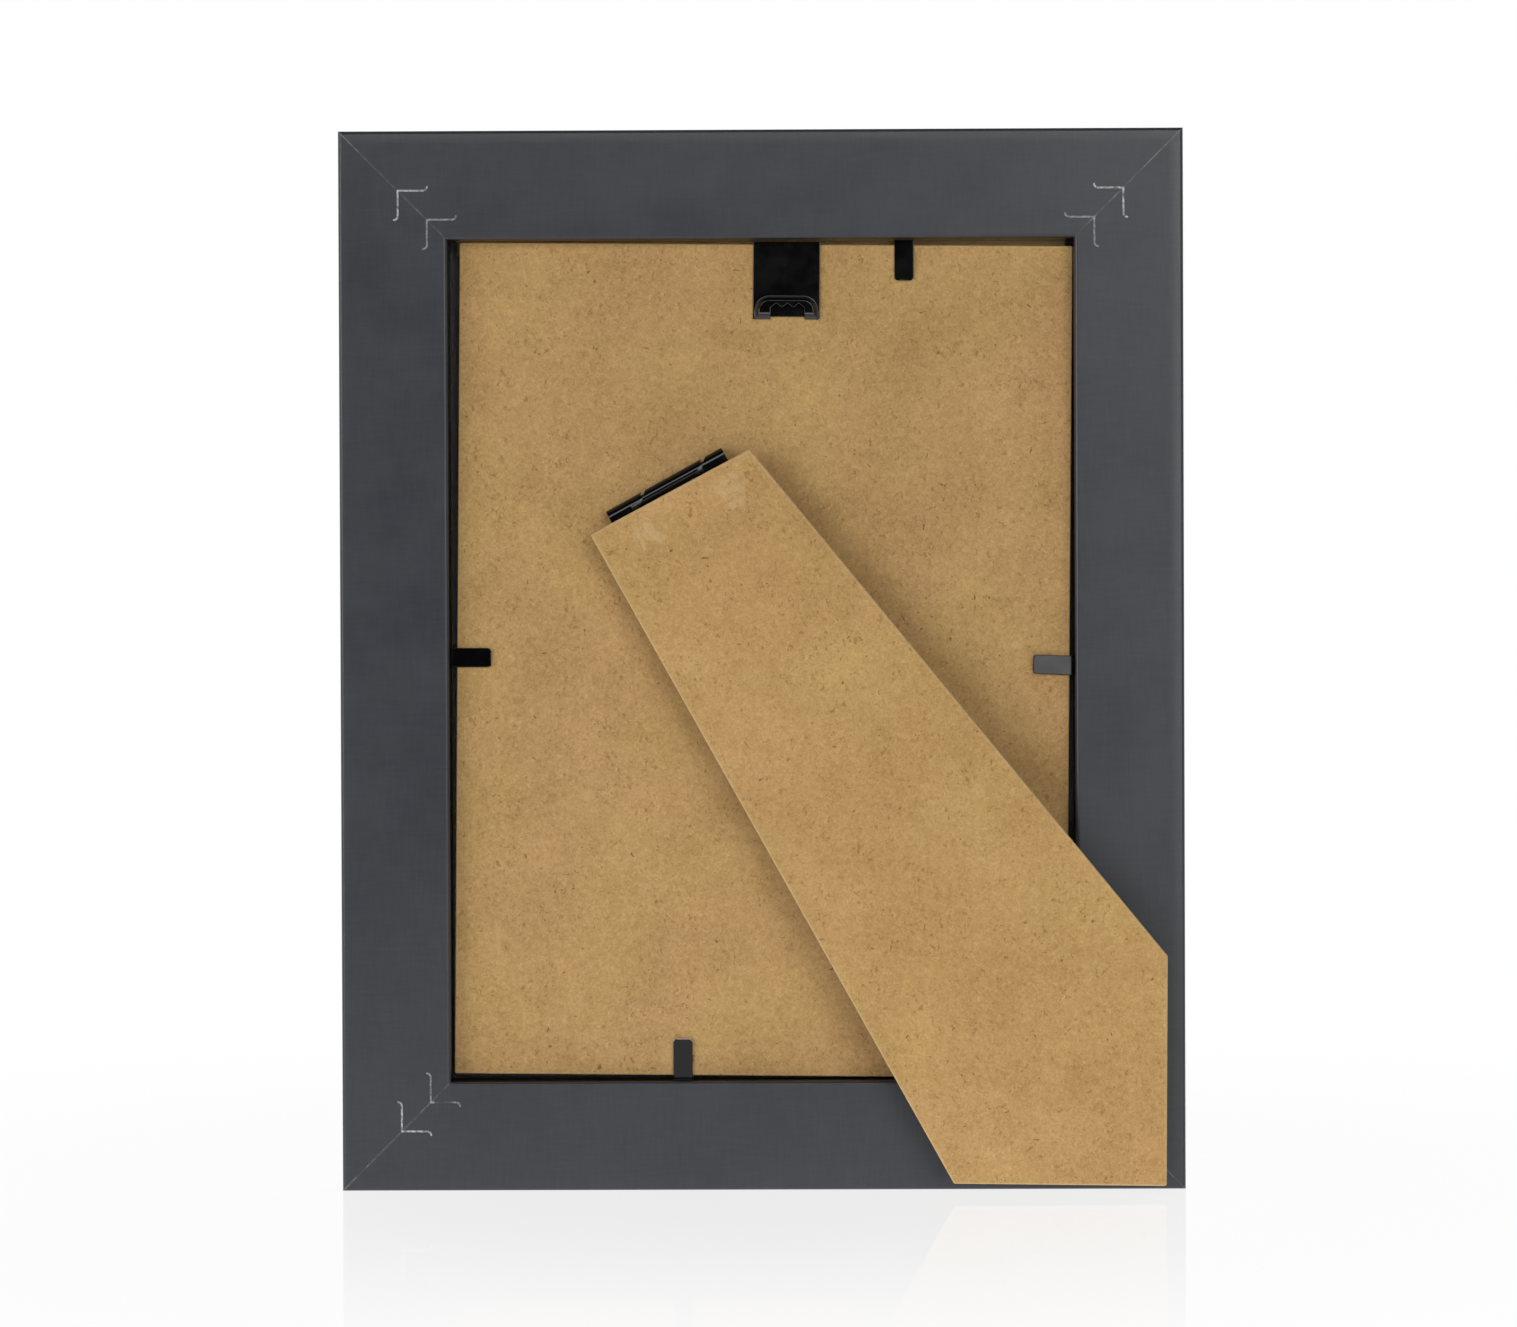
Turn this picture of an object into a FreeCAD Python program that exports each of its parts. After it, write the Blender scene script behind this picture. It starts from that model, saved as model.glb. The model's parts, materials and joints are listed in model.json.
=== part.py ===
import FreeCAD, Part
import math
import os

# Photo frame with an easel back, upright, seen from behind.
# X runs to the right as seen from behind, +Y towards the picture side, +Z up.
# The origin is the middle of the bottom rail's underside, halfway through its depth.
# All lengths are in millimetres and all angles in degrees.

V = FreeCAD.Vector
os.makedirs("parts", exist_ok=True)

# Rails: foil-wrapped mouldings with a rebate for the glass, the picture and the back
frame_depth = 15.0
rail_width = 26.6
lip_width = 5.5
lip_thickness = 4.5
outer_arris = 0.8
front_arris = 1.2
back_arris = 0.9
sight_bevel = 1.6
overrun = 1.0

# V-nails across the mitres, driven in from the back, their points this far from the rebate's edges
nail_outer_inset = 12.0
nail_inner_inset = 4.9
nail_arm = 6.15
nail_hook_radius = 1.0
nail_hook_angle = 85.0
nail_sheet = 0.45
nail_depth = 7.0
nail_proud = 0.06

# Glass, paper insert and back board, stacked against the lip
glass_thickness = 2.0
glass_play = 0.6
insert_thickness = 0.3
insert_side_margin = 0.2
insert_end_margin = 2.1
board_width = 150.4
board_height = 204.2
board_thickness = 3.0
board_corner = 0.5
board_arris = 0.2
board_turn_angle = 0.6
board_left_gap = 0.585
board_right_gap = 0.085
board_seat_gap = 0.1
board_top_gap = 0.236

# Flexible tabs that keep the stack in
tab_width = 4.7
tab_length = 9.7
tab_sheet = 0.5
tab_corner = 0.9
tab_board_gap = 0.15
tab_wall_gap = 0.15
tab_shank_length = 7.0
tab_left_above_middle = 0.89
tab_right_below_middle = 1.6
tab_top_right_of_middle = 35.15
tab_bottom_left_of_middle = 19.8
tab_left_lift_angle = 1.0
tab_right_lift_angle = 5.0
tab_top_lift_angle = 1.0
tab_bottom_lift_angle = 2.0
tab_right_skew_angle = 2.5

# Hanger clipped over the top edge of the back board
hanger_width = 16.4
hanger_height = 18.4
hanger_sheet = 0.6
hanger_offset = 5.1
hanger_front_leg = 6.0
hanger_corner = 0.5
arch_height = 5.6
arch_margin = 0.5
arch_rise = 1.3
arch_side_run = 1.0
arch_foot_run = 1.5
arch_corner = 3.6
notch_width = 8.3
notch_height = 3.9
notch_off_middle = 0.3
tooth_depth = 1.1
tooth_count = 3
tongue_recess = 0.6
tongue_seat = 0.8
hanger_prong_side = 4.0
hanger_prong_width = 2.4
hanger_prong_length = 1.8

# Butt hinge between the back board and the leg
hinge_slope_angle = 29.4
hinge_left_of_middle = 23.78
hinge_above_middle = 42.47
hinge_length = 32.3
hinge_sheet = 0.6
knuckle_radius = 1.9
knuckle_board_gap = 0.2
knuckle_wrap_angle = 285.0
knuckle_left_end = -7.6
knuckle_right_end = 9.2
knuckle_slit = 1.2
knuckle_slit_angle = 46.0
pin_play = 0.05
pin_recess = 0.2
leaf_length = 12.0
leaf_corner = 1.2
leaf_relief = 0.35
prong_side = 11.5
prong_drop = 8.5
prong_width = 2.6
prong_length = 2.2
heel_radius = 2.35
heel_base_angle = 14.0
heel_length = 3.0
heel_margin_angle = 1.5

# Leg: a fibreboard strut whose foot and lower side follow the frame's edges when folded
leg_thickness = 3.0
leg_arris = 0.3
leg_corner = 0.6
leg_top_gap = 1.9
leg_half_top = 22.06
leg_top_skew = 0.3
leg_left_taper_angle = 0.35
leg_right_flare_angle = 10.45
leg_side_margin = 3.02
leg_foot_margin = 2.08
leg_rail_gap = 0.3
leg_spring_angle = 2.62
leg_open_angle = 30.0

# Levels through the depth of the frame
back_y = -frame_depth / 2
front_y = frame_depth / 2
lip_y = front_y - lip_thickness
glass_y = lip_y - glass_thickness
insert_y = glass_y - insert_thickness
board_y = insert_y - board_thickness
tab_y = board_y - tab_board_gap - tab_sheet / 2
axis_y = board_y - knuckle_board_gap - knuckle_radius

# The board leans in its loose rebate, which takes the turned board and its play
turn = math.radians(board_turn_angle)
board_span_width = board_width * math.cos(turn) + board_height * math.sin(turn)
board_span_height = board_height * math.cos(turn) + board_width * math.sin(turn)
rebate_width = board_left_gap + board_span_width + board_right_gap
rebate_height = board_seat_gap + board_span_height + board_top_gap
frame_width = rebate_width + 2 * rail_width
frame_height = rebate_height + 2 * rail_width
rebate_centre = V(0, 0, frame_height / 2)
board_centre = V((board_left_gap - board_right_gap) / 2, board_y,
                 rail_width + board_seat_gap + board_span_height / 2)

knuckle_bore = knuckle_radius - hinge_sheet
pin_radius = knuckle_bore - pin_play

# An edge lies in a face's level when it is nearer to it than this share of the chamfer
level_share = 0.25

# Quarter turns, and the sides of the hinge's own section, counted from straight down
quarter = 90.0
leg_side = quarter
board_side = 3 * quarter


def face_of(corners, place):
    """Face inside corners given as (a, b, radius), with place(a, b) setting them in space."""
    spans = []
    count = len(corners)
    for i, (a, b, radius) in enumerate(corners):
        before, after = corners[i - 1], corners[(i + 1) % count]
        to_before = math.hypot(before[0] - a, before[1] - b)
        to_after = math.hypot(after[0] - a, after[1] - b)
        ua, ub = (before[0] - a) / to_before, (before[1] - b) / to_before
        va, vb = (after[0] - a) / to_after, (after[1] - b) / to_after
        half = math.acos(max(-1.0, min(1.0, ua * va + ub * vb))) / 2
        if radius > 0:
            reach = radius / math.tan(half)
            wa, wb = ua + va, ub + vb
            size = math.hypot(wa, wb)
            sag = radius / math.sin(half) - radius
            start = (a + ua * reach, b + ub * reach)
            middle = (a + wa / size * sag, b + wb / size * sag)
            end = (a + va * reach, b + vb * reach)
            spans.append((start, middle, end))
        else:
            spans.append(((a, b), None, (a, b)))
    edges = []
    for i, (start, middle, end) in enumerate(spans):
        if middle:
            edges.append(Part.Arc(place(*start), place(*middle), place(*end)).toShape())
        following = spans[(i + 1) % count][0]
        edges.append(Part.LineSegment(place(*end), place(*following)).toShape())
    return Part.Face(Part.Wire(edges))


def plate(corners, y_low, y_high):
    """Prism through the depth, from corners (x, z, radius)."""
    return face_of(corners, lambda x, z: V(x, y_low, z)).extrude(V(0, y_high - y_low, 0))


def block(x_low, x_high, y_low, y_high, z_low, z_high):
    return Part.makeBox(x_high - x_low, y_high - y_low, z_high - z_low, V(x_low, y_low, z_low))


def rectangle(width, height, radius, centre_x, centre_z):
    """Corners of an upright rectangle."""
    return [
        (centre_x - width / 2, centre_z - height / 2, radius),
        (centre_x + width / 2, centre_z - height / 2, radius),
        (centre_x + width / 2, centre_z + height / 2, radius),
        (centre_x - width / 2, centre_z + height / 2, radius),
    ]


def eased(shape, size, faces_y):
    """Chamfers the outline of a plate on the faces at the given depths."""
    edges = []
    for edge in shape.Edges:
        low, high = edge.BoundBox.YMin, edge.BoundBox.YMax
        for y in faces_y:
            if max(abs(low - y), abs(high - y)) < size * level_share:
                edges.append(edge)
    return shape.makeChamfer(size, edges)


def rail(length):
    """One mitred rail lying at the bottom, middle at X zero, with its underside at Z zero."""
    reach = rail_width + lip_width
    section = [
        (0, back_y, outer_arris),
        (rail_width, back_y, back_arris),
        (rail_width, lip_y, 0),
        (reach, lip_y, 0),
        (reach, front_y - sight_bevel, 0),
        (reach - sight_bevel, front_y, 0),
        (0, front_y, front_arris),
    ]
    moulding = face_of(section, lambda z, y: V(-length / 2, y, z)).extrude(V(length, 0, 0))
    mitre = plate([
        (-length / 2, 0, 0),
        (length / 2, 0, 0),
        (length / 2 - reach, reach, 0),
        (-length / 2 + reach, reach, 0),
    ], back_y - overrun, front_y + overrun)
    return moulding.common(mitre)


def turned_about_centre(shape, angle):
    """Turns a piece about the axis through the middle of the rebate."""
    shape.rotate(rebate_centre, V(0, 1, 0), angle)
    return shape


def rails():
    bottom = rail(frame_width)
    top = turned_about_centre(rail(frame_width), 2 * quarter)
    upright_drop = (frame_height - frame_width) / 2
    left = rail(frame_height)
    left.translate(V(0, 0, upright_drop))
    left = turned_about_centre(left, quarter)
    right = rail(frame_height)
    right.translate(V(0, 0, upright_drop))
    right = turned_about_centre(right, -quarter)
    return {"bottom": bottom, "top": top, "left": left, "right": right}


def strip(start, end, place, y_low, y_high):
    """Thin upright wall over the segment from start to end, rounded at both ends."""
    da, db = end[0] - start[0], end[1] - start[1]
    size = math.hypot(da, db)
    half = nail_sheet / 2
    na, nb = -db / size * half, da / size * half
    wall = face_of([
        (start[0] + na, start[1] + nb, 0),
        (start[0] - na, start[1] - nb, 0),
        (end[0] - na, end[1] - nb, 0),
        (end[0] + na, end[1] + nb, 0),
    ], place).extrude(V(0, y_high - y_low, 0))
    for a, b in (start, end):
        wall = wall.fuse(Part.makeCylinder(half, y_high - y_low, place(a, b), V(0, 1, 0)))
    return wall


def curl(bend_point, place, y_low, y_high):
    """Curled end of a nail's arm, turning outwards about a centre one radius off the arm's end."""
    half = nail_sheet / 2
    sweep = math.radians(nail_hook_angle)
    outer, inner = [
        [place(*bend_point(radius, angle)) for angle in (0, sweep / 2, sweep)]
        for radius in (nail_hook_radius + half, nail_hook_radius - half)
    ]
    edges = [
        Part.Arc(*outer).toShape(),
        Part.LineSegment(outer[2], inner[2]).toShape(),
        Part.Arc(*inner[::-1]).toShape(),
        Part.LineSegment(inner[0], outer[0]).toShape(),
    ]
    wall = Part.Face(Part.Wire(edges)).extrude(V(0, y_high - y_low, 0))
    tip = place(*bend_point(nail_hook_radius, sweep))
    return wall.fuse(Part.makeCylinder(half, y_high - y_low, tip, V(0, 1, 0)))


def v_nail(apex, place, y_low, y_high):
    """V-nail with its point towards the frame's corner and both arm ends curled outwards."""
    along = apex + nail_arm

    def level_end(radius, angle):
        return along + radius * math.sin(angle), apex - nail_hook_radius + radius * math.cos(angle)

    def upright_end(radius, angle):
        return level_end(radius, angle)[::-1]

    nail = strip((apex, apex), (along, apex), place, y_low, y_high)
    nail = nail.fuse(strip((apex, apex), (apex, along), place, y_low, y_high))
    for bend_point in (level_end, upright_end):
        nail = nail.fuse(curl(bend_point, place, y_low, y_high))
    return nail.removeSplitter()


def corner_nails(side_x, side_z):
    """The nails of one corner, side_x and side_z being -1 or 1."""
    y_low = back_y - nail_proud

    def place(a, b):
        return V(side_x * (frame_width / 2 - a), y_low, frame_height / 2 * (1 + side_z) - side_z * b)

    insets = (nail_outer_inset, nail_inner_inset)
    return [v_nail(rail_width - inset, place, y_low, back_y + nail_depth) for inset in insets]


def blank_tab():
    """Tab blade along +Z from the bend line at the origin, its root rounded about that line."""
    half = tab_width / 2
    blade = plate([
        (-half, 0, 0),
        (half, 0, 0),
        (half, tab_length, tab_corner),
        (-half, tab_length, tab_corner),
    ], -tab_sheet / 2, tab_sheet / 2)
    root = Part.makeCylinder(tab_sheet / 2, tab_width, V(-half, 0, 0), V(1, 0, 0))
    return blade.fuse(root).removeSplitter()


def blank_shank():
    """Part of a tab driven into the rail, with a pointed end, from the rail's wall down to -Z."""
    half = tab_width / 2
    tip = tab_shank_length
    return plate([
        (-half, 0, 0),
        (half, 0, 0),
        (half, -tip + half, 0),
        (0, -tip, 0),
        (-half, -tip + half, 0),
    ], tab_y - tab_sheet / 2, tab_y + tab_sheet / 2)


# Each tab: its side's turn about Y, where it leaves the rebate's wall, its lift and its skew
middle_z = frame_height / 2
tabs = {
    "bottom": (0, V(-tab_bottom_left_of_middle, 0, rail_width), tab_bottom_lift_angle, 0),
    "top": (2 * quarter, V(tab_top_right_of_middle, 0, frame_height - rail_width),
            tab_top_lift_angle, 0),
    "left": (quarter, V(-rebate_width / 2, 0, middle_z + tab_left_above_middle),
             tab_left_lift_angle, 0),
    "right": (-quarter, V(rebate_width / 2, 0, middle_z - tab_right_below_middle),
              tab_right_lift_angle, tab_right_skew_angle),
}


def bend_inset(skew):
    """Distance of a tab's bend line from the rebate's wall, with room for a skewed root."""
    lean = math.radians(skew)
    return tab_wall_gap + tab_sheet / 2 + tab_width / 2 * math.sin(lean)


def tab_blade(side):
    angle, wall, lift, skew = tabs[side]
    blade = blank_tab()
    blade.rotate(V(0, 0, 0), V(1, 0, 0), lift)
    blade.rotate(V(0, 0, 0), V(0, 1, 0), skew)
    blade.translate(V(0, tab_y, bend_inset(skew)))
    blade.rotate(V(0, 0, 0), V(0, 1, 0), angle)
    blade.translate(wall)
    return blade


def tab_shank(side):
    angle, wall, _lift, _skew = tabs[side]
    shank = blank_shank()
    shank.rotate(V(0, 0, 0), V(0, 1, 0), angle)
    shank.translate(wall)
    return shank


def on_board(shape):
    """Sets a piece made on the upright board, its middle at the origin, onto the turned board."""
    shape.rotate(V(0, 0, 0), V(0, 1, 0), board_turn_angle)
    shape.translate(V(board_centre.x, 0, board_centre.z))
    return shape


def hanger():
    """Sheet clip with a raised arch whose notch has saw teeth for a nail, and a flat tongue behind them."""
    top = board_height / 2
    bottom = top - hanger_height
    centre = hanger_offset
    outer_y = board_y - hanger_sheet
    back_plate = plate([
        (centre - hanger_width / 2, bottom, hanger_corner),
        (centre + hanger_width / 2, bottom, hanger_corner),
        (centre + hanger_width / 2, top + hanger_sheet, 0),
        (centre - hanger_width / 2, top + hanger_sheet, 0),
    ], outer_y, board_y)
    half = hanger_width / 2 - arch_margin

    def arch(inset, lift, y):
        corner = arch_corner - inset
        return face_of([
            (centre - half + inset, bottom + lift, 0),
            (centre + half - inset, bottom + lift, 0),
            (centre + half - inset, bottom + arch_height - inset, corner),
            (centre - half + inset, bottom + arch_height - inset, corner),
        ], lambda x, z: V(x, y, z)).OuterWire

    def dome(y):
        return Part.makeLoft([arch(0, 0, y), arch(arch_side_run, arch_foot_run, y - arch_rise)], True, True)

    raised = dome(outer_y)
    hollow = dome(board_y)
    plate_with_arch = back_plate.fuse(raised).cut(hollow)
    pitch = notch_width / tooth_count
    peak = bottom + notch_height
    notch_left = centre + notch_off_middle - notch_width / 2
    notch_right = notch_left + notch_width
    teeth = [(notch_left, peak - tooth_depth, 0)]
    for i in range(tooth_count):
        left = notch_left + i * pitch
        teeth.append((left + pitch / 2, peak, 0))
        teeth.append((left + pitch, peak - tooth_depth, 0))
    floor = bottom - overrun
    notch = plate(
        teeth + [(notch_right, floor, 0), (notch_left, floor, 0)],
        outer_y - arch_rise - overrun, board_y + overrun)
    tongue = plate([
        (notch_left - tongue_seat, bottom, 0),
        (notch_left, bottom, 0),
        (notch_left, bottom + tongue_recess, 0),
        (notch_right, bottom + tongue_recess, 0),
        (notch_right, bottom, 0),
        (notch_right + tongue_seat, bottom, 0),
        (notch_right + tongue_seat, peak, 0),
        (notch_left - tongue_seat, peak, 0),
    ], outer_y, board_y)
    fold_y = insert_y
    over = block(centre - hanger_width / 2, centre + hanger_width / 2, outer_y, fold_y,
                 top, top + hanger_sheet)
    front = block(centre - hanger_width / 2, centre + hanger_width / 2, fold_y - hanger_sheet, fold_y,
                  top - hanger_front_leg, top + hanger_sheet)
    clip = plate_with_arch.cut(notch).fuse(tongue).fuse(over).fuse(front)
    for side in (-1, 1):
        middle = centre + side * hanger_prong_side
        prong = face_of([
            (middle - hanger_prong_width / 2, fold_y, 0),
            (middle + hanger_prong_width / 2, fold_y, 0),
            (middle, fold_y - hanger_sheet - hanger_prong_length, 0),
        ], lambda x, y: V(x, y, top - hanger_front_leg)).extrude(V(0, 0, hanger_sheet))
        clip = clip.fuse(prong)
    return on_board(clip.removeSplitter())


def around(radius, angle):
    """Point of the hinge's own section: angle 0 down, 90 away from the board, 180 up."""
    phi = math.radians(angle)
    return -radius * math.sin(phi), -radius * math.cos(phi)


def roll(start, end):
    """Rolled sheet of the hinge's barrel over its whole length, between two angles."""
    middle = (start + end) / 2
    outer = [around(knuckle_radius, angle) for angle in (start, middle, end)]
    inner = [around(knuckle_bore, angle) for angle in (end, middle, start)]
    x = -hinge_length / 2
    edges = []
    for arc in (outer, inner):
        edges.append(Part.Arc(*[V(x, y, z) for y, z in arc]).toShape())
    edges.insert(1, Part.LineSegment(V(x, *outer[2]), V(x, *inner[0])).toShape())
    edges.append(Part.LineSegment(V(x, *inner[2]), V(x, *outer[0])).toShape())
    return Part.Face(Part.Wire(edges)).extrude(V(hinge_length, 0, 0))


def slit_slant(height):
    """How far a slanted slit moves along the axis over the given height."""
    return height * math.tan(math.radians(knuckle_slit_angle))


def slanted_span(x_left, x_right):
    """Tool that keeps the barrel between two slanted cuts, None meaning the barrel's end."""
    reach = knuckle_radius + knuckle_board_gap + overrun
    far = hinge_length / 2 + overrun
    slant = slit_slant(reach)
    low_left, high_left = (-far, -far) if x_left is None else (x_left - slant, x_left + slant)
    low_right, high_right = (far, far) if x_right is None else (x_right - slant, x_right + slant)
    return plate([
        (low_left, -reach, 0),
        (low_right, -reach, 0),
        (high_right, reach, 0),
        (high_left, reach, 0),
    ], -reach, reach)


def leaf_sheet(y_low, y_high, spans):
    """Flat of a leaf below the barrel, joined to it over the given spans along the axis."""
    shoulder = -(knuckle_radius + leaf_relief)
    sheet = plate([
        (-hinge_length / 2, shoulder, 0),
        (-hinge_length / 2, -leaf_length, leaf_corner),
        (hinge_length / 2, -leaf_length, leaf_corner),
        (hinge_length / 2, shoulder, 0),
    ], y_low, y_high)
    for x_low, x_high in spans:
        sheet = sheet.fuse(block(x_low, x_high, y_low, y_high, shoulder - hinge_sheet, 0))
    return sheet


def prongs(y_sheet, y_tip):
    """Two spikes bent out of a leaf, from the sheet's far side to their tips."""
    spikes = []
    for side in (-1, 1):
        x = side * prong_side
        spikes.append(face_of([
            (x - prong_width / 2, y_sheet, 0),
            (x + prong_width / 2, y_sheet, 0),
            (x, y_tip, 0),
        ], lambda a, y: V(a, y, -prong_drop)).extrude(V(0, 0, hinge_sheet)))
    return spikes


def prong_windows(y_low, y_high):
    """Openings that the bent spikes leave in their leaf."""
    windows = []
    for side in (-1, 1):
        x = side * prong_side
        windows.append(plate([
            (x - prong_width / 2, -prong_drop, 0),
            (x, -prong_drop - prong_length, 0),
            (x + prong_width / 2, -prong_drop, 0),
        ], y_low, y_high))
    return windows


slit_half = knuckle_slit / 2
slant_reach = slit_slant(knuckle_radius)


def board_leaf():
    """Fixed leaf: the middle knuckle rolls over the pin from the board's side."""
    y_board = knuckle_radius + knuckle_board_gap
    sheet_y = y_board - hinge_sheet
    barrel = roll(board_side - knuckle_wrap_angle, board_side)
    barrel = barrel.common(slanted_span(knuckle_left_end + slit_half, knuckle_right_end - slit_half))
    flat_low = knuckle_left_end + slit_half
    flat_high = knuckle_right_end - slit_half - slant_reach
    leaf = leaf_sheet(sheet_y, y_board, [(flat_low, flat_high)])
    leaf = leaf.fuse(barrel)
    for spike in prongs(sheet_y, y_board + prong_length):
        leaf = leaf.fuse(spike)
    for window in prong_windows(sheet_y, y_board):
        leaf = leaf.cut(window)
    return leaf.removeSplitter()


def heel(x_low):
    """Coined heel on a moving knuckle that meets the board when the leg is fully open."""
    y_board = knuckle_radius + knuckle_board_gap
    meets = 2 * quarter + math.degrees(math.asin(y_board / heel_radius))
    tip = meets - leg_open_angle - heel_margin_angle
    inside = (knuckle_radius + knuckle_bore) / 2
    points = [
        (*around(inside, tip - heel_base_angle), 0),
        (*around(heel_radius, tip), 0),
        (*around(inside, tip + heel_base_angle), 0),
    ]
    return face_of(points, lambda y, z: V(x_low, y, z)).extrude(V(heel_length, 0, 0))


def leg_leaf():
    """Moving leaf: the two outer knuckles roll over the pin from the leg's side."""
    y_leg = -knuckle_radius
    sheet_y = y_leg + hinge_sheet
    barrel = roll(leg_side, leg_side + knuckle_wrap_angle)
    left = barrel.common(slanted_span(None, knuckle_left_end - slit_half))
    right = barrel.common(slanted_span(knuckle_right_end + slit_half, None))
    spans = [
        (-hinge_length / 2, knuckle_left_end - slit_half - slant_reach),
        (knuckle_right_end + slit_half, hinge_length / 2),
    ]
    leaf = leaf_sheet(y_leg, sheet_y, spans).fuse(left).fuse(right)
    leaf = leaf.fuse(heel(-hinge_length / 2)).fuse(heel(hinge_length / 2 - heel_length))
    leaf = leaf.cut(Part.makeCylinder(knuckle_bore, hinge_length, V(-hinge_length / 2, 0, 0), V(1, 0, 0)))
    for spike in prongs(sheet_y, y_leg - prong_length):
        leaf = leaf.fuse(spike)
    for window in prong_windows(y_leg, sheet_y):
        leaf = leaf.cut(window)
    return leaf.removeSplitter()


def at_hinge(shape, opening):
    """Sets a hinge piece on the board, swung open by the given angle."""
    shape.rotate(V(0, 0, 0), V(1, 0, 0), -opening)
    shape.rotate(V(0, 0, 0), V(0, 1, 0), -hinge_slope_angle)
    shape.translate(V(-hinge_left_of_middle, axis_y, hinge_above_middle))
    return on_board(shape)


def crossing(first, second):
    """Where two lines meet, each given as (a, b, direction_a, direction_b)."""
    a, b, da, db = first
    c, d, dc, dd = second
    along = ((c - a) * dd - (d - b) * dc) / (da * dd - db * dc)
    return a + along * da, b + along * db


def line_in_leg(x, z, along_x, along_z, slope_angle):
    """A line of the board or the frame, seen from the hinge's middle and along its axis."""
    slope = math.radians(slope_angle)
    ca, sa = math.cos(slope), math.sin(slope)
    return x * ca + z * sa, z * ca - x * sa, along_x * ca + along_z * sa, along_z * ca - along_x * sa


left_taper = math.radians(leg_left_taper_angle)
right_flare = math.radians(leg_right_flare_angle)
leg_left_edge = (-leg_half_top, -leg_top_gap + leg_top_skew, math.sin(left_taper), -math.cos(left_taper))
leg_right_edge = (leg_half_top, -leg_top_gap - leg_top_skew, math.sin(right_flare), -math.cos(right_flare))


def leg_board():
    """Strut with its top edge just below the barrel, on the outer side of the moving leaf."""
    inner_y = -knuckle_radius
    outer_y = inner_y - leg_thickness
    side_x = board_width / 2 + rail_width - leg_side_margin + hinge_left_of_middle
    foot_z = -(board_height / 2 + rail_width - leg_foot_margin) - hinge_above_middle
    side = line_in_leg(side_x, 0, 0, 1, hinge_slope_angle)
    foot = line_in_leg(0, foot_z, 1, 0, hinge_slope_angle)
    outline = [
        (*leg_left_edge[:2], leg_corner),
        (*leg_right_edge[:2], leg_corner),
        (*crossing(leg_right_edge, side), leg_corner),
        (*crossing(side, foot), leg_corner),
        (*crossing(leg_left_edge, foot), leg_corner),
    ]
    return eased(plate(outline, outer_y, inner_y), leg_arris, (outer_y, inner_y))


def folded_angle():
    """Opening at which the folded leg lies just off the rails it crosses first."""
    hinge = at_hinge(Part.Vertex(0, 0, 0), 0).Point
    slope_angle = hinge_slope_angle - board_turn_angle
    side = line_in_leg(rebate_width / 2 - hinge.x, 0, 0, 1, slope_angle)
    foot = line_in_leg(0, rail_width - hinge.z, 1, 0, slope_angle)
    drop = min(-crossing(leg_right_edge, side)[1], -crossing(leg_left_edge, foot)[1])
    rise = axis_y - back_y + leg_rail_gap
    reach = math.hypot(knuckle_radius, drop)
    return math.degrees(math.asin(rise / reach) - math.atan2(knuckle_radius, drop))


nodes = {}

# Hinge, leg and hanger come first, because the boards are cut to take their spikes
leg_ajar = folded_angle() + leg_spring_angle
leaf_on_board = at_hinge(board_leaf(), 0)
leaf_on_leg_closed = leg_leaf()
leg = leg_board().cut(leaf_on_leg_closed)
leaf_on_leg = at_hinge(leaf_on_leg_closed, leg_ajar)
leg = at_hinge(leg, leg_ajar)
pin_length = hinge_length - 2 * pin_recess
pin = at_hinge(Part.makeCylinder(pin_radius, pin_length, V(-pin_length / 2, 0, 0), V(1, 0, 0)), 0)
hanger_clip = hanger()

nodes["hinge_leaf_board"] = leaf_on_board
nodes["hinge_leaf_leg"] = leaf_on_leg
nodes["hinge_pin"] = pin
nodes["easel_leg"] = leg
nodes["hanger_plate"] = hanger_clip

# Back board, turned in its rebate, with seats for the spikes and the clip
board = plate(rectangle(board_width, board_height, board_corner, 0, 0), board_y, insert_y)
board = on_board(eased(board, board_arris, (board_y, insert_y)))
nodes["back_board"] = board.cut(leaf_on_board).cut(hanger_clip)

nodes["photo_insert"] = on_board(plate(
    rectangle(board_width - 2 * insert_side_margin, board_height - 2 * insert_end_margin, 0, 0, 0),
    insert_y, glass_y))
nodes["glass_pane"] = plate(
    rectangle(rebate_width - glass_play, rebate_height - glass_play, 0, 0, frame_height / 2),
    glass_y, lip_y)

# Rails are slotted for the nails of both their corners and for their tab
frame_rails = rails()
corners = {
    "top_left": (-1, 1, ("top", "left")),
    "top_right": (1, 1, ("top", "right")),
    "bottom_left": (-1, -1, ("bottom", "left")),
    "bottom_right": (1, -1, ("bottom", "right")),
}
for corner, (side_x, side_z, sides) in corners.items():
    pair = corner_nails(side_x, side_z)
    nodes["v_nails_" + corner] = Part.makeCompound(pair)
    for side in sides:
        for nail in pair:
            frame_rails[side] = frame_rails[side].cut(nail)
for side, shape in frame_rails.items():
    shank = tab_shank(side)
    nodes["tab_shank_" + side] = shank
    nodes["tab_blade_" + side] = tab_blade(side)
    nodes["rail_" + side] = shape.cut(shank)

for name, shape in nodes.items():
    shape.exportStep("parts/" + name + ".step")
    box = shape.BoundBox
    print(name, len(shape.Solids), "solids", "valid" if shape.isValid() else "NOT VALID",
          round(shape.Volume, 1), "mm3",
          [round(v, 2) for v in (box.XMin, box.XMax, box.YMin, box.YMax, box.ZMin, box.ZMax)])
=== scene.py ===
import json
import math

import bpy
from mathutils import Matrix, Vector, geometry


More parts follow.
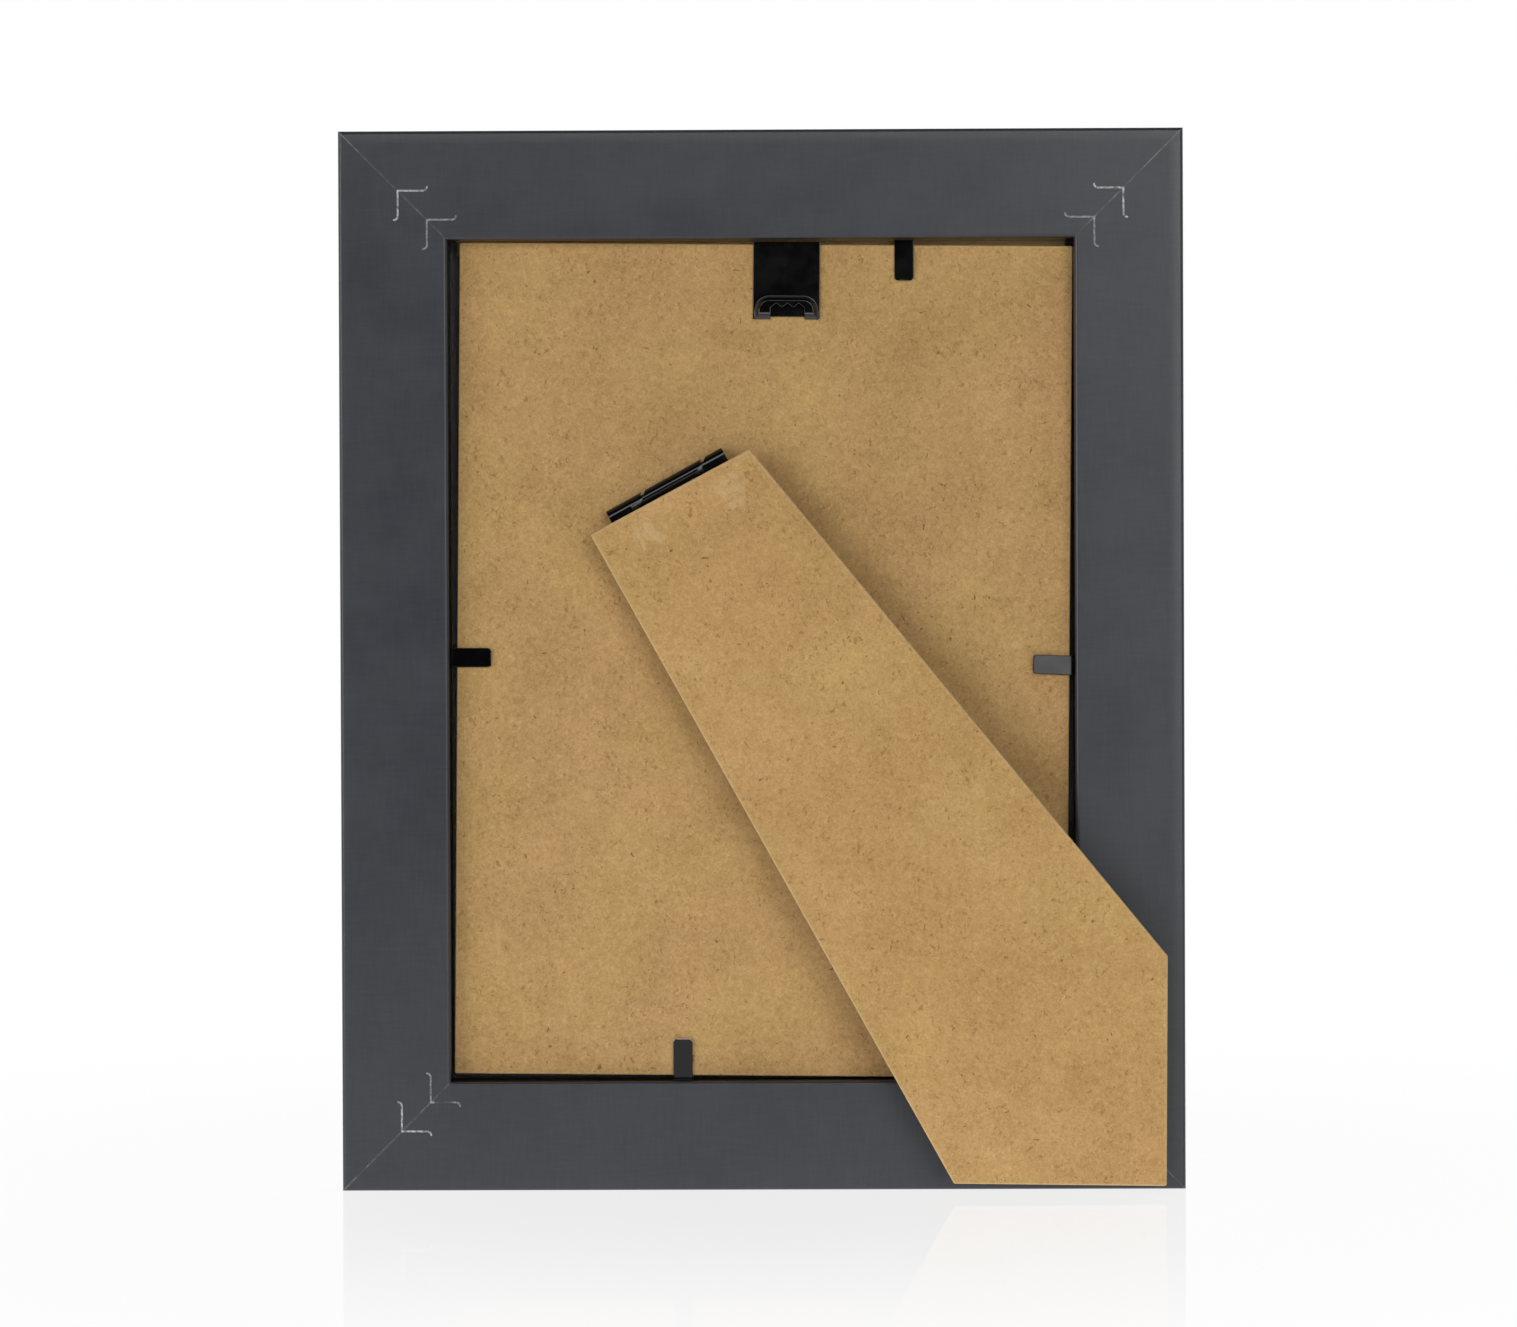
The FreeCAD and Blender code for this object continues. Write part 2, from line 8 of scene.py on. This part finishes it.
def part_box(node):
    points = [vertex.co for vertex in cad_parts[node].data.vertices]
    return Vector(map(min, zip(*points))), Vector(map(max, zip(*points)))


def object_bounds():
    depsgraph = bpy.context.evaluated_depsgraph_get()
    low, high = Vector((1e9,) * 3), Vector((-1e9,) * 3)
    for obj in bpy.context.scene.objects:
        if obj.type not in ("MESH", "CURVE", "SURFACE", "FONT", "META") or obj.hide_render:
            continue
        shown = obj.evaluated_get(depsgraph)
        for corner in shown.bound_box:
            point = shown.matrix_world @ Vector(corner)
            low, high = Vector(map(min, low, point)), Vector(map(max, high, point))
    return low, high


# Photo frame with an easel back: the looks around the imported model, in metres

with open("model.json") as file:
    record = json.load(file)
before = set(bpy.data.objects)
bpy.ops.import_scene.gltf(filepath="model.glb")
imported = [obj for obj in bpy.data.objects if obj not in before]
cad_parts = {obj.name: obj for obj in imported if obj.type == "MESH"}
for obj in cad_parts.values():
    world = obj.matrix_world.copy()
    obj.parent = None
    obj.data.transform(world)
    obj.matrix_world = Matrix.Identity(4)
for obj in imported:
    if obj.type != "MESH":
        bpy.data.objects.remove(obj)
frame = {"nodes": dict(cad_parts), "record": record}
nodes = frame["nodes"]
cad_box = [list(corner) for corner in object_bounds()]
MM = 0.001

# Picture width and focal length in pixels, and where its camera stood, in millimetres and degrees
PHOTO_WIDTH = 1517
FOCAL_PIXELS = 4494.4
SENSOR_WIDTH = 36.0
CAMERA_PLACE = (10.0, -1105.86, 141.59)
CAMERA_YAW = 0.566
CAMERA_PITCH = -0.663
CAMERA_ROLL = -0.219

# Studio: shares of white, and the table's side in metres
WORLD_LEVEL = 0.04
FLOOR_SHADOW = 0.045
FLOOR_MIRROR = 0.15
FLOOR_BOUNCE = 0.95
FLOOR_SIZE = 12.0

# Soft boxes: name, degrees right of and above the camera's side, distance, width, height, radiance
LAMPS = (
    ("right_box", 24, 12, 1.6, 0.75, 0.9, 3.6),
    ("left_box", -48, 0, 1.5, 0.9, 1.0, 4.6),
    ("top_box", -5, 22, 1.7, 1.2, 0.35, 3.1),
    ("front_box", 150, 25, 1.9, 1.2, 1.0, 5.4),
)


def srgb(red, green, blue):
    """Linear colour of an sRGB colour given as three numbers to 255."""
    def linear(value):
        share = value / 255
        return share / 12.92 if share <= 0.04045 else ((share + 0.055) / 1.055) ** 2.4
    return (linear(red), linear(green), linear(blue), 1.0)


def grey(value):
    """Linear colour of a grey given as one number to 255."""
    return srgb(value, value, value)


def span(start, end, at=0.0):
    """Two places, given in millimetres from a third, between which a finish changes."""
    return at + start * MM, at + end * MM


class Sock:
    """One node socket, with Python's operators adding Math nodes."""

    def __init__(self, tree, socket):
        self.tree = tree
        self.socket = socket

    def math(self, operation, *values):
        return self.tree.node("ShaderNodeMath", {"operation": operation}, dict(enumerate(values)))

    def __add__(self, other):
        return self.math("ADD", self, other)

    def __radd__(self, other):
        return self.math("ADD", other, self)

    def __sub__(self, other):
        return self.math("SUBTRACT", self, other)

    def __rsub__(self, other):
        return self.math("SUBTRACT", other, self)

    def __mul__(self, other):
        return self.math("MULTIPLY", self, other)

    def __rmul__(self, other):
        return self.math("MULTIPLY", other, self)

    def __abs__(self):
        return self.math("ABSOLUTE", self)

    def low(self, other):
        return self.math("MINIMUM", self, other)

    def high(self, other):
        return self.math("MAXIMUM", self, other)

    def ramp(self, start, end, first=0.0, last=1.0):
        """Smooth step from first to last as the value goes from start to end."""
        return self.tree.node(
            "ShaderNodeMapRange", {"interpolation_type": "SMOOTHSTEP"},
            {"Value": self, "From Min": start, "From Max": end, "To Min": first, "To Max": last},
        )

    def fade(self, start, end):
        """Smooth step down from one to zero."""
        return self.ramp(start, end, 1.0, 0.0)

    def between(self, rise, fall):
        """One inside a zone that starts over one span and ends over another."""
        return self.ramp(*rise) * self.fade(*fall)


class Material:
    """A node material, or the world, whose nodes are all made by one method."""

    def __init__(self, name, owner=None):
        self.data = owner or bpy.data.materials.new(name)
        self.data.use_nodes = True
        self.tree = self.data.node_tree
        self.tree.nodes.clear()

    def node(self, kind, settings=None, inputs=None, output=0):
        """Adds a node with its settings first, then its sockets' values or links."""
        made = self.tree.nodes.new(kind)
        for name, value in (settings or {}).items():
            setattr(made, name, value)
        for name, value in (inputs or {}).items():
            target = made.inputs[name]
            if isinstance(value, Sock):
                self.tree.links.new(value.socket, target)
            else:
                target.default_value = value
        return Sock(self, made.outputs[output]) if made.outputs else None

    def vector(self, operation, *values, output="Vector"):
        settings = {"operation": operation}
        return self.node("ShaderNodeVectorMath", settings, dict(enumerate(values)), output)

    def scaled(self, vector, x, y, z):
        return self.vector("MULTIPLY", vector, (x, y, z))

    def split(self, vector):
        """The three parts of a vector."""
        return [self.node("ShaderNodeSeparateXYZ", {}, {0: vector}, part) for part in range(3)]

    def mix(self, factor, first, second):
        """Colour between two colours. The node's colour sockets are inputs 6 and 7, output 2."""
        inputs = {0: factor, 6: first, 7: second}
        return self.node("ShaderNodeMix", {"data_type": "RGBA"}, inputs, 2)

    def place(self):
        """Place on the object at rest, in metres."""
        return self.node("ShaderNodeTexCoord", output="Object")

    def facing(self):
        """Surface direction in the object's own axes."""
        return self.node("ShaderNodeTexCoord", output="Normal")

    def rays(self):
        """Whether a ray starts at the camera, and whether it was mirrored or went through glass."""
        seen, glossy, through = (
            self.node("ShaderNodeLightPath", output=f"Is {kind} Ray")
            for kind in ("Camera", "Glossy", "Transmission"))
        return seen, glossy.high(through)

    def noise(self, vector, scale, detail=2.0, roughness=0.5, distortion=0.0):
        return self.node(
            "ShaderNodeTexNoise", {},
            {"Vector": vector, "Scale": scale, "Detail": detail, "Roughness": roughness,
             "Distortion": distortion},
        )

    def bump(self, height, strength, distance, normal=None):
        inputs = {"Height": height, "Strength": strength, "Distance": distance}
        if normal:
            inputs["Normal"] = normal
        return self.node("ShaderNodeBump", {}, inputs)

    def surface(self, shader, kind="ShaderNodeOutputMaterial"):
        self.node(kind, {}, {"Surface": shader})

    def principled(self, **inputs):
        """Finishes the material with a shader whose inputs are named with underscores."""
        named = {name.replace("_", " "): value for name, value in inputs.items()}
        self.surface(self.node("ShaderNodeBsdfPrincipled", {}, named))
        return self.data


# Sizes read from the frame, for the finishes that follow its edges
lowest, highest = (Vector(corner) for corner in cad_box)
FRAME_WIDTH = highest.x - lowest.x
FRAME_HEIGHT = highest.z - lowest.z
BACK_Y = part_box("rail_left")[0].y
LIP_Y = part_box("glass_pane")[1].y
ARCH_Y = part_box("hanger_plate")[0].y
RAIL_WIDTH = 26.6 * MM

# Foil: thread pitch and its stretch along the thread, the mitre's hairline and the rounded edges
THREAD = 0.42 * MM
THREAD_STRETCH = 14
MITRE_HALF = 0.14 * MM
PAST_NAILS = span(22.5, 24.0)
ROUNDING = 3.5 * MM
ROUNDING_SLOPE = 0.12

# Rebate: its walls, painted near black as painted shade, where the foil ends and the lip starts,
# and the raw board shown only in the top gap, where light reaches it
REBATE = span(-0.2, -0.05, RAIL_WIDTH)
FOIL_END = span(0.5, 1.0, BACK_Y)
LIP_START = span(0.2, 0.5, LIP_Y)
RAW_DEPTH = span(3.5, 4.5, BACK_Y)
RAW_FROM_SIDE = span(1.3, 2.3, RAIL_WIDTH)
RAW_UNDER_TOP = span(-3.5, -2.5, FRAME_HEIGHT - RAIL_WIDTH)

# Nails: where the outer pair ends, and the partly buried arm of the bottom left inner nail
OUTER_NAILS = span(16, 20)
LEFT_HALF = span(-10, 0)
BURIED_UP = span(19, 20), span(22.6, 23)
BURIED_FROM_SIDE = span(22.4, 22.8), span(26.4, 27.2)

# Boards: rim strength and width, shortest side that gets one, scuffs as place, size and strength
RIM = 0.55
RIM_WIDTH = span(0.2, 0.9)
SHORTEST_SIDE = 5 * MM
BOARD_SCUFF = [(Vector((62.5, 0, 133)) * MM, 1.4 * MM, 0.26)]
SPIKE_PLACES = (-9.6 * MM, 13.4 * MM)
SPIKE_DROP = 8.5 * MM
SPIKE_SIZE = 4.0 * MM

# Black sheet, for its painted highlights: the arch's foot and crown, where the hinge ends and where
# the bottom tab ends
ARCH_FOOT = span(0.6, 0.8, ARCH_Y)
ARCH_CROWN = span(0.2, 0.25, ARCH_Y)
ABOVE_HINGE = span(205, 208)
BOTTOM_TAB = span(50, 60)

# Modifiers: rounded sheet edges, and the glass drawn in so that it doesn't share the paper's face
SHEET_ROUNDING = 0.15 * MM
ROUNDED_ANGLE = math.radians(35)
WELD_REACH = 0.001 * MM
GLASS_PLAY = 0.06 * MM


def from_edges(x, z):
    """Distances from the nearest upright side and level side, and the lesser of both."""
    from_side = FRAME_WIDTH / 2 - abs(x)
    from_end = z.low(FRAME_HEIGHT - z)
    return from_side, from_end, from_side.low(from_end)


def rail_wrap():
    """Dark grey foil with a fine linen texture and pale hairlines at the mitres; the rebate's walls
    are painted near black as painted shade, and show the raw board's brown only under the top rail,
    where light reaches.
    """
    mat = Material("rail_wrap")
    place = mat.place()
    x, y, z = mat.split(place)
    from_side, from_end, inset = from_edges(x, z)
    across = 1 / THREAD
    along = across / THREAD_STRETCH
    weft = mat.noise(mat.scaled(place, along, along, across), 1.0, detail=1.0, roughness=0.6)
    warp = mat.noise(mat.scaled(place, across, along, along), 1.0, detail=1.0, roughness=0.6)
    weave = (weft + warp) * 0.5
    cloud = mat.noise(place, 60.0, detail=3.0, roughness=0.6)
    tone = (weave - 0.5) * 0.9 + (cloud - 0.5) * 0.5 + 0.5
    colour = mat.mix(tone, srgb(40, 42, 47), srgb(59, 61, 67))
    seam = abs(from_side - from_end).fade(MITRE_HALF, MITRE_HALF * 2.6)
    broken = mat.noise(place, 260.0, detail=3.0, roughness=0.6).ramp(0.4, 0.62, 0.15, 1.0)
    strength = from_side.ramp(*PAST_NAILS, 0.5, 0.25)
    colour = mat.mix(seam * broken * strength, colour, grey(128))
    # Painted shade: past the foil the rebate's walls are painted near black; deep under the top
    # rail they keep the raw board's own brown, left only where the table's light reaches, so partly
    # painted light.
    painted_shade = inset.ramp(*REBATE) * y.between(FOIL_END, LIP_START)
    raw_where_lit = y.ramp(*RAW_DEPTH) * from_side.ramp(*RAW_FROM_SIDE) * z.ramp(*RAW_UNDER_TOP)
    colour = mat.mix(painted_shade, colour, mat.mix(raw_where_lit, srgb(22, 18, 13), srgb(150, 126, 78)))
    edge = inset.low(ROUNDING)
    rounded = mat.bump(edge * (2 * ROUNDING - edge), 1.0, ROUNDING_SLOPE / (2 * ROUNDING))
    return mat.principled(
        Base_Color=colour,
        Roughness=cloud.ramp(0.3, 0.7, 0.3, 0.36),
        Specular_IOR_Level=0.45,
        Normal=mat.bump(weave * 0.7 - seam * 0.5, 0.35, 0.05 * MM, rounded),
    )


def outline(name):
    """The long straight sides of a flat piece, each as an offset and an inward direction."""
    points = [(v.co.x, v.co.z) for v in nodes[name].data.vertices]
    hull = [Vector(points[i]) for i in geometry.convex_hull_2d(points)]
    centre = sum(hull, Vector((0, 0))) / len(hull)
    sides = []
    for first, second in zip(hull, hull[1:] + hull[:1]):
        if (second - first).length > SHORTEST_SIDE:
            inward = Vector((first.y - second.y, second.x - first.x)).normalized()
            if inward.dot(centre - first) < 0:
                inward = -inward
            sides.append((inward.dot(first), (inward.x, 0, inward.y)))
    return sides


def fibreboard(name, node_name, dark, light, pale_edge, patches):
    """Raw fibreboard: soft mottling, curly fibres and dark specks, with paler cut edges."""
    mat = Material(name)
    place = mat.place()
    cloud = mat.noise(place, 45.0, detail=3.0, roughness=0.55)
    mottle = mat.noise(place, 640.0, detail=3.0, roughness=0.66, distortion=0.8)
    fine = mat.noise(place, 1900.0, roughness=0.6)
    tone = (mottle - 0.5) * 1.05 + (fine - 0.5) + (cloud - 0.5) * 0.8 + 0.5
    hue = mat.noise(place, 34.0, detail=1.0).ramp(0.35, 0.65)
    red, green, blue = light
    pale_tone = mat.mix(
        hue, srgb(red - 1, green + 1, blue - 2), srgb(red + 1, green - 1, blue + 2))
    colour = mat.mix(tone.high(0.0).low(1.0), srgb(*dark), pale_tone)

    hair = abs(mat.noise(place, 300.0, distortion=2.4) - 0.5).fade(0.0, 0.018)
    where = mat.noise(place, 160.0).ramp(0.5, 0.62)
    glint = abs(mat.noise(place, 380.0, distortion=2.0) - 0.5).fade(0.0, 0.016)
    cluster = mat.noise(place, 210.0).ramp(0.44, 0.6)
    grit_place = mat.scaled(place, 1.0, 1.0, 0.8)
    grit = mat.noise(grit_place, 1180.0, detail=1.5, distortion=0.7).ramp(0.58, 0.7)
    fleck_place = mat.scaled(place, 1.1, 1.0, 0.9)
    fleck = mat.noise(fleck_place, 1050.0, detail=1.5, distortion=0.9).ramp(0.6, 0.72)
    speck = mat.noise(place, 700.0, detail=1.0, distortion=0.8).ramp(0.735, 0.79)
    for share, shade in (
        (hair * where * 0.35, (122, 92, 56)),
        (glint * (1 - where) * 0.3, (205, 175, 126)),
        (grit * cluster * 0.55, (132, 92, 44)),
        (fleck * 0.4, (202, 167, 118)),
        (speck * 0.75, (108, 72, 34)),
    ):
        colour = mat.mix(share, colour, srgb(*shade))

    for at, size, strength in patches:
        flat = mat.scaled(mat.vector("SUBTRACT", place, at), 1, 0, 1)
        away = mat.vector("LENGTH", flat, output="Value")
        ragged = mat.noise(place, 330.0, roughness=0.6) - 0.5
        worn = (away + ragged * size * 3.0).fade(size * 0.4, size)
        colour = mat.mix(worn * strength, colour, srgb(212, 184, 138))

    edge = abs(mat.split(mat.facing())[1]).fade(0.72, 0.98)
    for start, along in outline(node_name):
        line = mat.vector("DOT_PRODUCT", place, along, output="Value")
        rim = (line - start + (fine - 0.5) * 0.6 * MM).ramp(*RIM_WIDTH, RIM, 0.0)
        edge = edge.high(rim)
    colour = mat.mix(edge * pale_edge, colour, srgb(222, 196, 150))
    relief = mottle * 0.6 + fine * 0.25 + glint * 0.15 - speck * 0.3
    return mat.principled(
        Base_Color=colour,
        Roughness=0.82,
        Specular_IOR_Level=0.25,
        Normal=mat.bump(relief, 0.3, 0.08 * MM),
    )


def hanger_highlight(place, facing):
    """Painted highlight where the hanger's arch rises from the plate, and painted reflection along
    its down-facing teeth.
    """
    tilt = abs(facing[1])
    arris = tilt.fade(0.88, 0.97) * tilt.ramp(0.2, 0.4)
    rise = arris * place[1].ramp(*ARCH_FOOT) * 0.07
    teeth = arris * facing[2].fade(-0.35, -0.15) * place[1].fade(*ARCH_CROWN) * 0.24
    return rise.high(teeth) * place[2].ramp(*ABOVE_HINGE)


def tab_glint(place, facing):
    """Painted glint on the upper arris of the bottom tab."""
    arris = abs(facing[1]).fade(0.9, 0.99) * facing[2].ramp(0.1, 0.3)
    return arris * place[2].fade(*BOTTOM_TAB)


def black_metal(name, roughness, level, shade, highlight_zone, highlight_shade):
    """Black coated sheet steel with a faint orange-peel surface, and pale grey painted highlights
    on some edges.
    """
    mat = Material(name)
    place = mat.place()
    # Painted highlights: some edges are painted pale grey where light would catch them.
    painted_highlight = highlight_zone(mat.split(place), mat.split(mat.facing()))
    peel = mat.noise(place, 700.0)
    worn = mat.noise(place, 160.0, detail=4.0, roughness=0.7)
    black = mat.mix(worn, grey(shade), grey(shade + 5))
    return mat.principled(
        Base_Color=mat.mix(painted_highlight, black, grey(highlight_shade)),
        Roughness=worn.ramp(0.3, 0.7, roughness * 0.8, roughness * 1.3),
        Specular_IOR_Level=level,
        Normal=mat.bump(peel, 0.12, 0.04 * MM),
    )


def nail_steel():
    """Cut edge of the steel strip, greyed by the press, with one arm partly under the foil."""
    mat = Material("nail_steel")
    place = mat.place()
    grain = mat.noise(place, 1100.0, detail=3.0, roughness=0.7)
    x, _, z = mat.split(place)
    from_side, _, inset = from_edges(x, z)
    bright = mat.mix(inset.ramp(*OUTER_NAILS), srgb(190, 190, 192), srgb(150, 150, 152))
    buried = z.between(*BURIED_UP) * x.fade(*LEFT_HALF) * from_side.between(*BURIED_FROM_SIDE)
    bright = mat.mix(buried, bright, srgb(52, 53, 57))
    return mat.principled(
        Base_Color=mat.mix(grain.ramp(0.3, 0.7), srgb(84, 84, 86), bright),
        Roughness=0.5,
        Metallic=0.3,
        Normal=mat.bump(grain, 0.3, 0.03 * MM),
    )


def pin_steel():
    """Grey drawn wire, seen through the slits between the knuckles."""
    mat = Material("pin_steel")
    drawn = mat.noise(mat.place(), 900.0, detail=3.0, roughness=0.7)
    return mat.principled(
        Base_Color=mat.mix(drawn, srgb(92, 94, 98), srgb(126, 128, 132)),
        Roughness=drawn.ramp(0.3, 0.7, 0.28, 0.42),
        Metallic=1.0,
    )


def clear_glass():
    """Sheet glass, partly open so that the lamps reach the sheet behind it."""
    return Material("clear_glass").principled(
        Base_Color=srgb(248, 252, 250), Roughness=0.0, IOR=1.5, Transmission_Weight=1.0, Alpha=0.1)


def insert_paper():
    """Plain matte paper with a faint fibre."""
    mat = Material("insert_paper")
    fibre = mat.noise(mat.place(), 2200.0, detail=3.0, roughness=0.7)
    return mat.principled(
        Base_Color=mat.mix(fibre, srgb(226, 224, 219), srgb(240, 239, 235)),
        Roughness=0.8,
        Normal=mat.bump(fibre, 0.15, 0.03 * MM),
    )


def clinch_marks():
    """Where the hinge's spikes have raised the leg's surface: place, size and strength."""
    joint = frame["record"]["behaviour"]["joints"][0]
    pin, along = Vector(joint["pos_m"]), Vector(joint["axis"])
    if along.x < 0:
        along = -along
    below = Vector((along.z, 0, -along.x))
    return [(pin + along * at + below * SPIKE_DROP, SPIKE_SIZE, 0.3) for at in SPIKE_PLACES]


def modify(obj, name, kind, **settings):
    """Adds a modifier with its settings."""
    made = obj.modifiers.new(name, kind)
    for key, value in settings.items():
        setattr(made, key, value)


finishes = {
    "rail_wrap": rail_wrap(),
    "nail_steel": nail_steel(),
    "clear_glass": clear_glass(),
    "insert_paper": insert_paper(),
    # The back board's colours are a few levels darker than the leg's: painted shade.
    "back_fibreboard": fibreboard(
        "back_fibreboard", "back_board", dark=(152, 118, 70), light=(199, 162, 107),
        pale_edge=0.2, patches=BOARD_SCUFF),
    "leg_fibreboard": fibreboard(
        "leg_fibreboard", "easel_leg", dark=(158, 121, 70), light=(203, 166, 108),
        pale_edge=0.34, patches=clinch_marks()),
    # Black steel and tab steel get pale grey painted highlights on some edges.
    "black_steel": black_metal(
        "black_steel", roughness=0.13, level=0.5, shade=2, highlight_zone=hanger_highlight, highlight_shade=150),
    "pin_steel": pin_steel(),
    "tab_steel": black_metal(
        "tab_steel", roughness=0.12, level=0.36, shade=2, highlight_zone=tab_glint, highlight_shade=225),
}
for part in frame["record"]["subparts"]:
    obj = nodes[part["node"]]
    obj.data.materials.clear()
    obj.data.materials.append(finishes[part["material_slot"]])
    if part["node"].startswith(("hanger", "tab_blade")):
        modify(obj, "joined", "WELD", merge_threshold=WELD_REACH)
        modify(obj, "rim", "BEVEL", width=SHEET_ROUNDING, segments=3, limit_method="ANGLE",
               angle_limit=ROUNDED_ANGLE, use_clamp_overlap=False)
modify(nodes["glass_pane"], "joined", "WELD", merge_threshold=WELD_REACH)
modify(nodes["glass_pane"], "play", "DISPLACE", mid_level=0.0, strength=-GLASS_PLAY)


def camera():
    """Camera with the picture's viewing angle, from its turns about the upright and level axes."""
    yaw, pitch, roll = (math.radians(a) for a in (CAMERA_YAW, CAMERA_PITCH, CAMERA_ROLL))
    ahead = Vector(
        (-math.sin(yaw) * math.cos(pitch), math.cos(yaw) * math.cos(pitch), math.sin(pitch)))
    level = Vector((math.cos(yaw), math.sin(yaw), 0))
    upward = level.cross(ahead)
    right = level * math.cos(roll) + upward * math.sin(roll)
    up = upward * math.cos(roll) - level * math.sin(roll)
    data = bpy.data.cameras.new("camera")
    data.sensor_width = SENSOR_WIDTH
    data.lens = FOCAL_PIXELS * SENSOR_WIDTH / PHOTO_WIDTH
    data.clip_start = 0.01
    data.clip_end = 100
    made = bpy.data.objects.new("camera", data)
    turn = Matrix((right, up, -ahead)).transposed().to_4x4()
    made.matrix_world = Matrix.Translation(Vector(CAMERA_PLACE) * MM) @ turn
    bpy.context.scene.collection.objects.link(made)
    bpy.context.scene.camera = made


def lamp(name, azimuth, elevation, distance, width, height, radiance):
    """Soft box aimed at the frame's middle, at angles right of and above the camera's side."""
    data = bpy.data.lights.new(name, "AREA")
    data.shape = "RECTANGLE"
    data.size = width
    data.size_y = height
    data.energy = radiance * math.pi * width * height
    made = bpy.data.objects.new(name, data)
    a, e = math.radians(azimuth), math.radians(elevation)
    way = Vector((math.sin(a) * math.cos(e), -math.cos(a) * math.cos(e), math.sin(e)))
    made.location = Vector((0, 0, FRAME_HEIGHT / 2)) + way * distance
    made.rotation_euler = way.to_track_quat("Z", "Y").to_euler()
    made.visible_camera = False
    bpy.context.scene.collection.objects.link(made)


def studio_world():
    """White for the camera; for mirrored rays darker towards the camera's side and overhead."""
    world = bpy.data.worlds.new("studio")
    bpy.context.scene.world = world
    mat = Material("studio", world)
    seen, mirrored = mat.rays()
    way = mat.split(mat.node("ShaderNodeTexCoord", output="Generated"))
    behind = way[1].ramp(-0.6, 0.1, 0.02, 1.0) * way[2].ramp(0.25, 0.7, 1.0, 0.3)
    strength = seen.high(mirrored * behind).high((1 - seen) * (1 - mirrored) * WORLD_LEVEL)
    backdrop = {"Color": (1, 1, 1, 1), "Strength": strength}
    mat.surface(mat.node("ShaderNodeBackground", {}, backdrop), "ShaderNodeOutputWorld")


def studio_floor():
    """White glossy table, with a faint mirror image and shadow that fade away from the frame, and a
    glow near the frame that lights it as painted bounce light.
    """
    half = FLOOR_SIZE / 2
    mesh = bpy.data.meshes.new("floor")
    corners = [(-half, -half, 0), (half, -half, 0), (half, half, 0), (-half, half, 0)]
    mesh.from_pydata(corners, [], [(0, 1, 2, 3)])
    made = bpy.data.objects.new("floor", mesh)
    bpy.context.scene.collection.objects.link(made)
    mat = Material("floor")
    place = mat.place()
    y = mat.split(place)[1]
    away = mat.vector("LENGTH", place, output="Value")
    seen, mirrored = mat.rays()
    lit = (1 - seen) * (1 - mirrored)
    shadow = away.fade(0.1, 0.45) * FLOOR_SHADOW
    shine = away.ramp(0.02, 0.3, FLOOR_MIRROR, 0.015) * away.fade(0.3, 0.45)
    far = away.ramp(0.4, 1.6, 1.0, 0.04).high(y.ramp(0.1, 0.5))
    # Painted bounce light: near the frame the table glows for the light that falls on the frame.
    glow = lit * away.fade(0.3, 0.9) * FLOOR_BOUNCE + seen + mirrored * far
    bright = (seen * (1 - shadow)).high(mirrored).high(lit)
    paint = mat.node("ShaderNodeBsdfDiffuse", {}, {"Color": (0.9, 0.9, 0.9, 1)})
    white = mat.node("ShaderNodeEmission", {}, {"Color": (1, 1, 1, 1), "Strength": glow})
    mirror = {"Color": (1, 1, 1, 1), "Roughness": 0.03}
    mirror = mat.node("ShaderNodeBsdfAnisotropic", {}, mirror)
    table = mat.node("ShaderNodeMixShader", {}, {0: bright, 1: paint, 2: white})
    mat.surface(mat.node("ShaderNodeMixShader", {}, {0: seen * shine, 1: table, 2: mirror}))
    mesh.materials.append(mat.data)


camera()
studio_world()
studio_floor()
for setting in LAMPS:
    lamp(*setting)

bpy.context.scene.view_settings.view_transform = "Standard"
